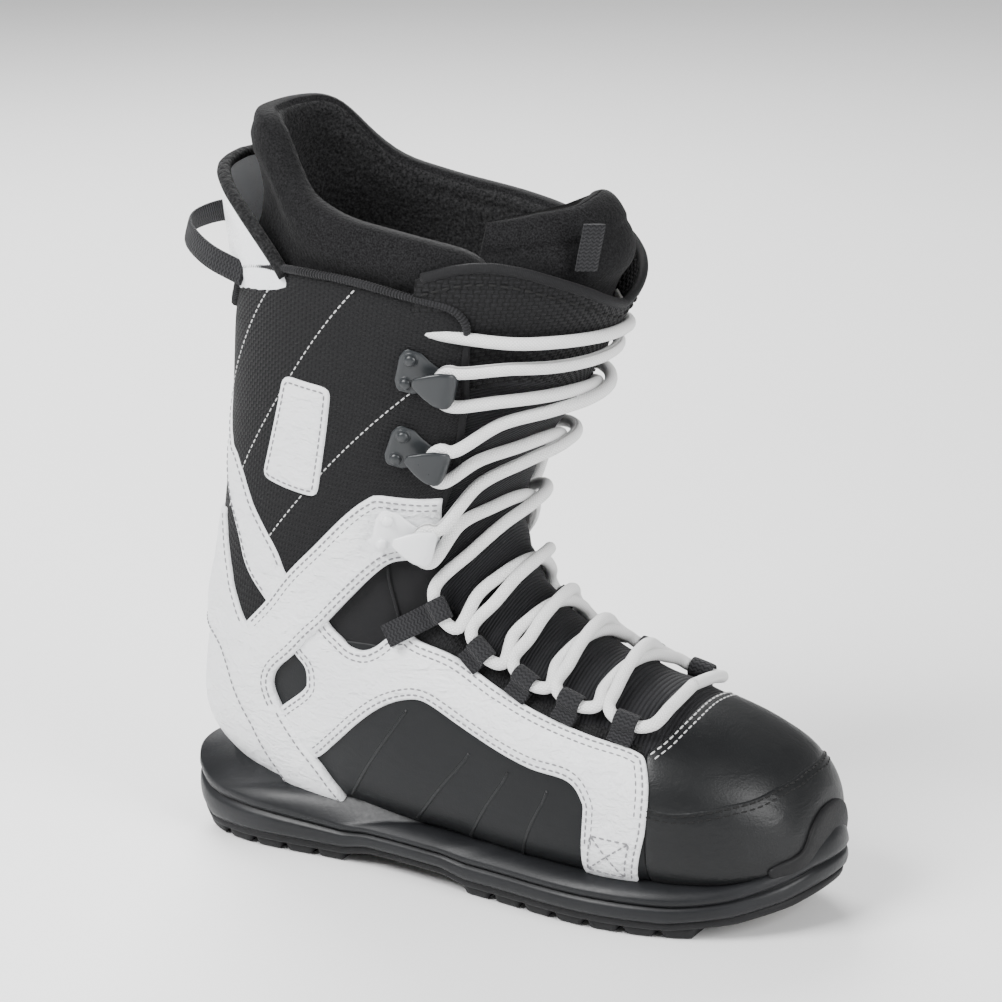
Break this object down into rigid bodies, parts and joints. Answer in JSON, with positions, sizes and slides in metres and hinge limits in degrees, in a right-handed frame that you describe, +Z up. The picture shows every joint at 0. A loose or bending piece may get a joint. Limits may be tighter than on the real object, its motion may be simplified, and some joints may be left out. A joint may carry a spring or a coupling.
{
  "type": "snowboard boot",
  "caption": "Laced snowboard boot for a right foot: lugged cup sole, leather and mesh shell with ankle harness, lace hooks and loops, and a removable-style foam liner.",
  "frame": {"origin": "on the floor under the middle of the whole boot", "axes": "+X towards the toe, +Y towards the inner (medial) side, +Z up"},
  "size_m": [0.3126, 0.1256, 0.345],
  "materials": {
    "white_leather": "grained white synthetic leather, satin",
    "black_leather": "smooth black synthetic leather, fine grain, satin",
    "black_mesh": "black ballistic woven fabric, matte",
    "tongue_fabric": "black ribbed woven fabric, matte",
    "rubber": "black moulded rubber, matte",
    "midsole_foam": "black moulded foam cup, satin skin",
    "liner_foam": "black brushed knit over foam, matte",
    "webbing": "black woven webbing, matte",
    "lace": "white round braided lace",
    "hook_metal": "dark grey painted, satin",
    "hook_white": "white, satin gloss",
    "board": "pressed fibre board",
    "steel": "spring steel strip",
    "stiffener_plastic": "thermoplastic sheet",
    "white_satin": "white coated stretch fabric, satin"
  },
  "bodies": {
    "foot": {"outsole": "rubber", "midsole": "midsole_foam", "shank": "steel", "lasting_board": "board", "vamp": "black_leather", "toe_rand": "black_leather", "tongue_lower": "tongue_fabric", "side_panel_lateral": "black_leather", "side_panel_medial": "black_leather", "heel_shell": "black_mesh", "toe_bumper": "rubber", "quarter_lateral": "white_leather", "quarter_medial": "white_leather", "heel_counter": "white_leather", "harness_lower": "white_leather", "liner_foot": "liner_foam", "footbed": "liner_foam", "toe_stiffener": "stiffener_plastic", "heel_stiffener": "stiffener_plastic", "lace_loop_lateral_1": "webbing", "lace_loop_lateral_2": "webbing", "lace_loop_lateral_3": "webbing", "lace_loop_lateral_4": "webbing", "lace_loop_medial_1": "webbing", "lace_loop_medial_2": "webbing", "lace_loop_medial_3": "webbing", "lace_loop_medial_4": "webbing", "ankle_loop_lateral": "webbing", "ankle_loop_medial": "webbing", "lace_lower": "lace", "ankle_gusset_lateral": "black_mesh", "ankle_gusset_medial": "black_mesh", "tongue_flex": "tongue_fabric", "liner_flex": "liner_foam", "lace_flex_a": "lace", "lace_flex_b": "lace"},
    "cuff": {"cuff_lateral": "black_mesh", "cuff_medial": "black_mesh", "cuff_binding_lateral": "webbing", "cuff_binding_medial": "webbing", "back_collar": "white_satin", "tongue_upper": "tongue_fabric", "badge": "white_leather", "harness_strap_lateral": "white_leather", "harness_strap_medial": "white_leather", "harness_spur": "white_leather", "rear_strap": "white_leather", "liner_cuff": "liner_foam", "liner_tongue": "liner_foam", "tongue_stiffener": "stiffener_plastic", "hook_lateral_1": "hook_white", "hook_lateral_2": "hook_metal", "hook_lateral_3": "hook_metal", "hook_medial_1": "hook_white", "hook_medial_2": "hook_metal", "hook_medial_3": "hook_metal", "lace_upper_a": "lace", "lace_upper_b": "lace", "liner_pull_tab": "webbing"},
    "pull_loop": {"rear_pull_loop": "webbing"}
  },
  "joints": [
    {"name": "ankle_flex", "type": "hinge", "parent": "foot", "child": "cuff", "pos_m": [-0.07767, 0, 0.112], "axis": [0, 1, 0], "range_deg": [0, 12], "stiffness_Nm_per_rad": 60, "deforming": ["ankle_gusset_lateral", "ankle_gusset_medial", "tongue_flex", "liner_flex", "lace_flex_a", "lace_flex_b", "ankle_loop_lateral", "ankle_loop_medial"]},
    {"name": "pull_loop_swing", "type": "hinge", "parent": "cuff", "child": "pull_loop", "pos_m": [-0.10867, 0, 0.268], "axis": [0, 1, 0], "range_deg": [-60, 24], "stiffness_Nm_per_rad": 0.05}
  ]
}
